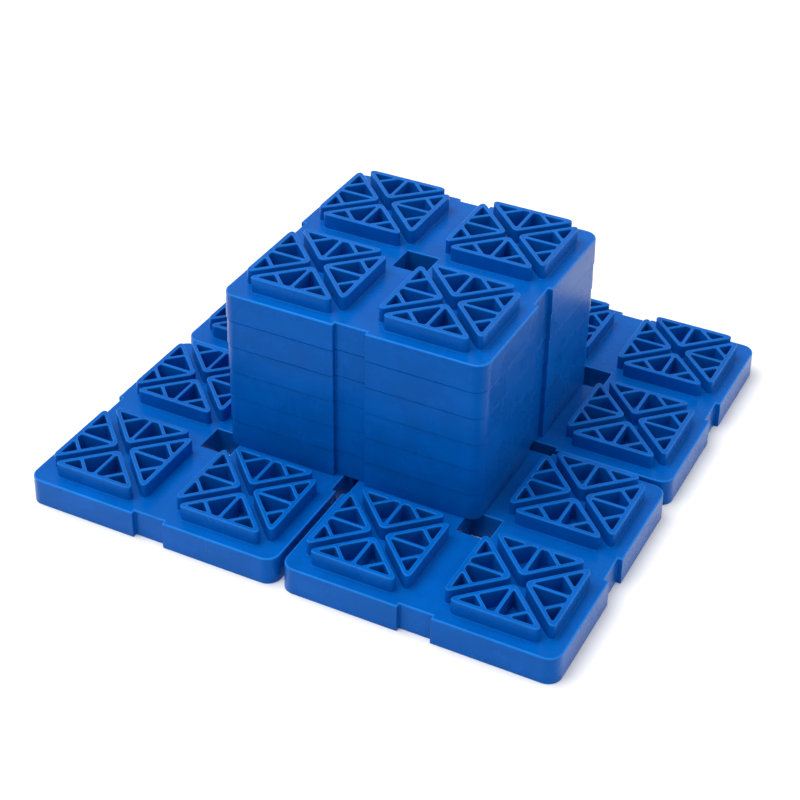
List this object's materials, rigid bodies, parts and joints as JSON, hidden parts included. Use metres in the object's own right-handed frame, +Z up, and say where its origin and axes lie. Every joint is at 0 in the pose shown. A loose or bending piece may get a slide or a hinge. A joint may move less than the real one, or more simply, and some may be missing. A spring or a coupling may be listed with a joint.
{
  "type": "leveling block set",
  "caption": "Set of identical square moulded blocks with ribbed pads that plug into sockets, laid side by side and stacked to raise a vehicle's wheel.",
  "frame": {"origin": "on the ground under the middle of the set", "axes": "+Z up, +X and +Y along the sides of the blocks"},
  "size_m": [0.436, 0.436, 0.1713],
  "materials": {
    "blue_plastic": "injection moulded, satin"
  },
  "bodies": {
    "base_block_front_left": {"base_block_front_left": "blue_plastic"},
    "base_block_front_right": {"base_block_front_right": "blue_plastic"},
    "base_block_back_left": {"base_block_back_left": "blue_plastic"},
    "base_block_back_right": {"base_block_back_right": "blue_plastic"},
    "stack_block_1": {"stack_block_1": "blue_plastic"},
    "stack_block_2": {"stack_block_2": "blue_plastic"},
    "stack_block_3": {"stack_block_3": "blue_plastic"},
    "stack_block_4": {"stack_block_4": "blue_plastic"},
    "stack_block_5": {"stack_block_5": "blue_plastic"},
    "stack_block_6": {"stack_block_6": "blue_plastic"}
  },
  "joints": [
    {"name": "stack_block_1_lift_off", "type": "slide", "parent": "base_block_front_left", "child": "stack_block_1", "axis": [0, 0, 1], "range_m": [0, 0.04]},
    {"name": "front_right_pull_off", "type": "slide", "parent": "stack_block_1", "child": "base_block_front_right", "axis": [0, 0, -1], "range_m": [0, 0.04]},
    {"name": "back_left_pull_off", "type": "slide", "parent": "stack_block_1", "child": "base_block_back_left", "axis": [0, 0, -1], "range_m": [0, 0.04]},
    {"name": "back_right_pull_off", "type": "slide", "parent": "stack_block_1", "child": "base_block_back_right", "axis": [0, 0, -1], "range_m": [0, 0.04]},
    {"name": "stack_block_2_lift_off", "type": "slide", "parent": "stack_block_1", "child": "stack_block_2", "axis": [0, 0, 1], "range_m": [0, 0.04]},
    {"name": "stack_block_3_lift_off", "type": "slide", "parent": "stack_block_2", "child": "stack_block_3", "axis": [0, 0, 1], "range_m": [0, 0.04]},
    {"name": "stack_block_4_lift_off", "type": "slide", "parent": "stack_block_3", "child": "stack_block_4", "axis": [0, 0, 1], "range_m": [0, 0.04]},
    {"name": "stack_block_5_lift_off", "type": "slide", "parent": "stack_block_4", "child": "stack_block_5", "axis": [0, 0, 1], "range_m": [0, 0.04]},
    {"name": "stack_block_6_lift_off", "type": "slide", "parent": "stack_block_5", "child": "stack_block_6", "axis": [0, 0, 1], "range_m": [0, 0.04]}
  ],
  "couplings": [
    {"joint": "front_right_pull_off", "follows": "stack_block_1_lift_off", "ratio": 1},
    {"joint": "back_left_pull_off", "follows": "stack_block_1_lift_off", "ratio": 1},
    {"joint": "back_right_pull_off", "follows": "stack_block_1_lift_off", "ratio": 1}
  ]
}
